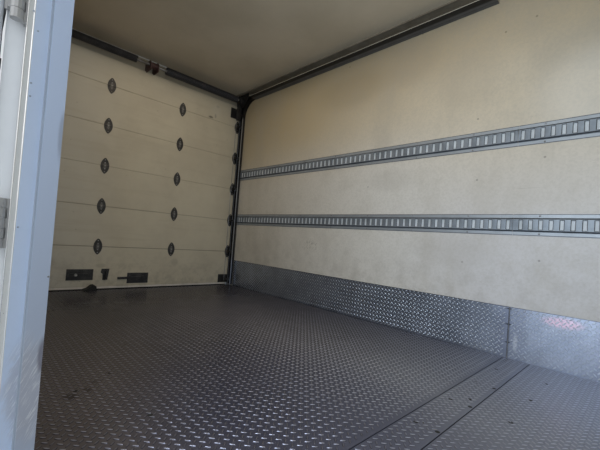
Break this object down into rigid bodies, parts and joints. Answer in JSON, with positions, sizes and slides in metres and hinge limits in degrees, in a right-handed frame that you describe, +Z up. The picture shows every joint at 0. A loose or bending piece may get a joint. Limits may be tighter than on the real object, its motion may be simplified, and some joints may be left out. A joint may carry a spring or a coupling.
{
  "type": "box truck cargo body",
  "caption": "Box truck load body off its chassis: roll-up rear door on tracks, open hinged side door, raised-lug metal floor, kick plates and slotted tie-down rails.",
  "frame": {"origin": "on the plane of the long sills' undersides, midway across them and midway between the rear frame and the front wall", "axes": "+X toward the cab end, +Y toward the road side (left), +Z up"},
  "size_m": [4.509, 2.512, 2.65],
  "materials": {
    "wall_panel": "cream fibreglass facing, finely pebbled, light scuffs",
    "door_board": "cream laminate on boards, semi-gloss",
    "roof_skin": "pale beige fibreglass, satin",
    "white_paint": "white gloss paint, small chips and dirt",
    "chequer_plate": "raised-lug sheet, dull with bright worn lugs",
    "galvanised": "galvanised, dull",
    "extrusion": "mill finish, satin",
    "black_steel": "black paint, satin, dusty",
    "chassis_black": "black underfloor coating",
    "deck_wood": "laminated hardwood, unfinished below",
    "rubber": "black rubber",
    "steel": "zinc-plated steel, dull",
    "lamp_red": "red lens",
    "lamp_amber": "amber lens"
  },
  "bodies": {
    "cargo_body": {"bottom_rails": "extrusion", "cable_drums": "black_steel", "chassis_brackets": "chassis_black", "cross_members": "chassis_black", "dock_bumpers": "rubber", "door_hinges_edge": "black_steel", "door_hinges_middle": "black_steel", "door_pull": "rubber", "door_rollers": "steel", "door_springs": "black_steel", "door_tracks": "galvanised", "floor_deck": "deck_wood", "floor_plates": "chequer_plate", "front_corner_posts": "extrusion", "front_lamps": "lamp_amber", "front_wall": "wall_panel", "kerb_wall_front": "wall_panel", "kerb_wall_over_door": "wall_panel", "kerb_wall_rear": "wall_panel", "kick_plates": "chequer_plate", "lift_cables": "steel", "logistic_rails_kerb": "galvanised", "logistic_rails_road": "galvanised", "long_sills": "chassis_black", "rear_door_fittings": "black_steel", "rear_door_panels": "door_board", "rear_door_seal": "rubber", "rear_header": "white_paint", "rear_lamps": "lamp_red", "rear_posts": "white_paint", "rear_sill": "white_paint", "road_side_wall": "wall_panel", "roller_brackets": "black_steel", "roof_panel": "roof_skin", "shaft_brackets": "black_steel", "side_door_frame": "white_paint", "side_door_seal": "rubber", "side_hinges_fixed": "white_paint", "spring_shaft": "steel", "top_rails": "extrusion", "track_ledges": "black_steel"},
    "side_door": {"side_door_leaf": "wall_panel", "side_door_edge": "white_paint", "side_hinges_moving": "white_paint", "side_door_lock": "steel"}
  },
  "joints": [
    {"name": "side_door_hinge", "type": "hinge", "parent": "cargo_body", "child": "side_door", "pos_m": [0.5765, -1.239, 1.2], "axis": [0, 0, 1], "range_deg": [0, 180]}
  ]
}
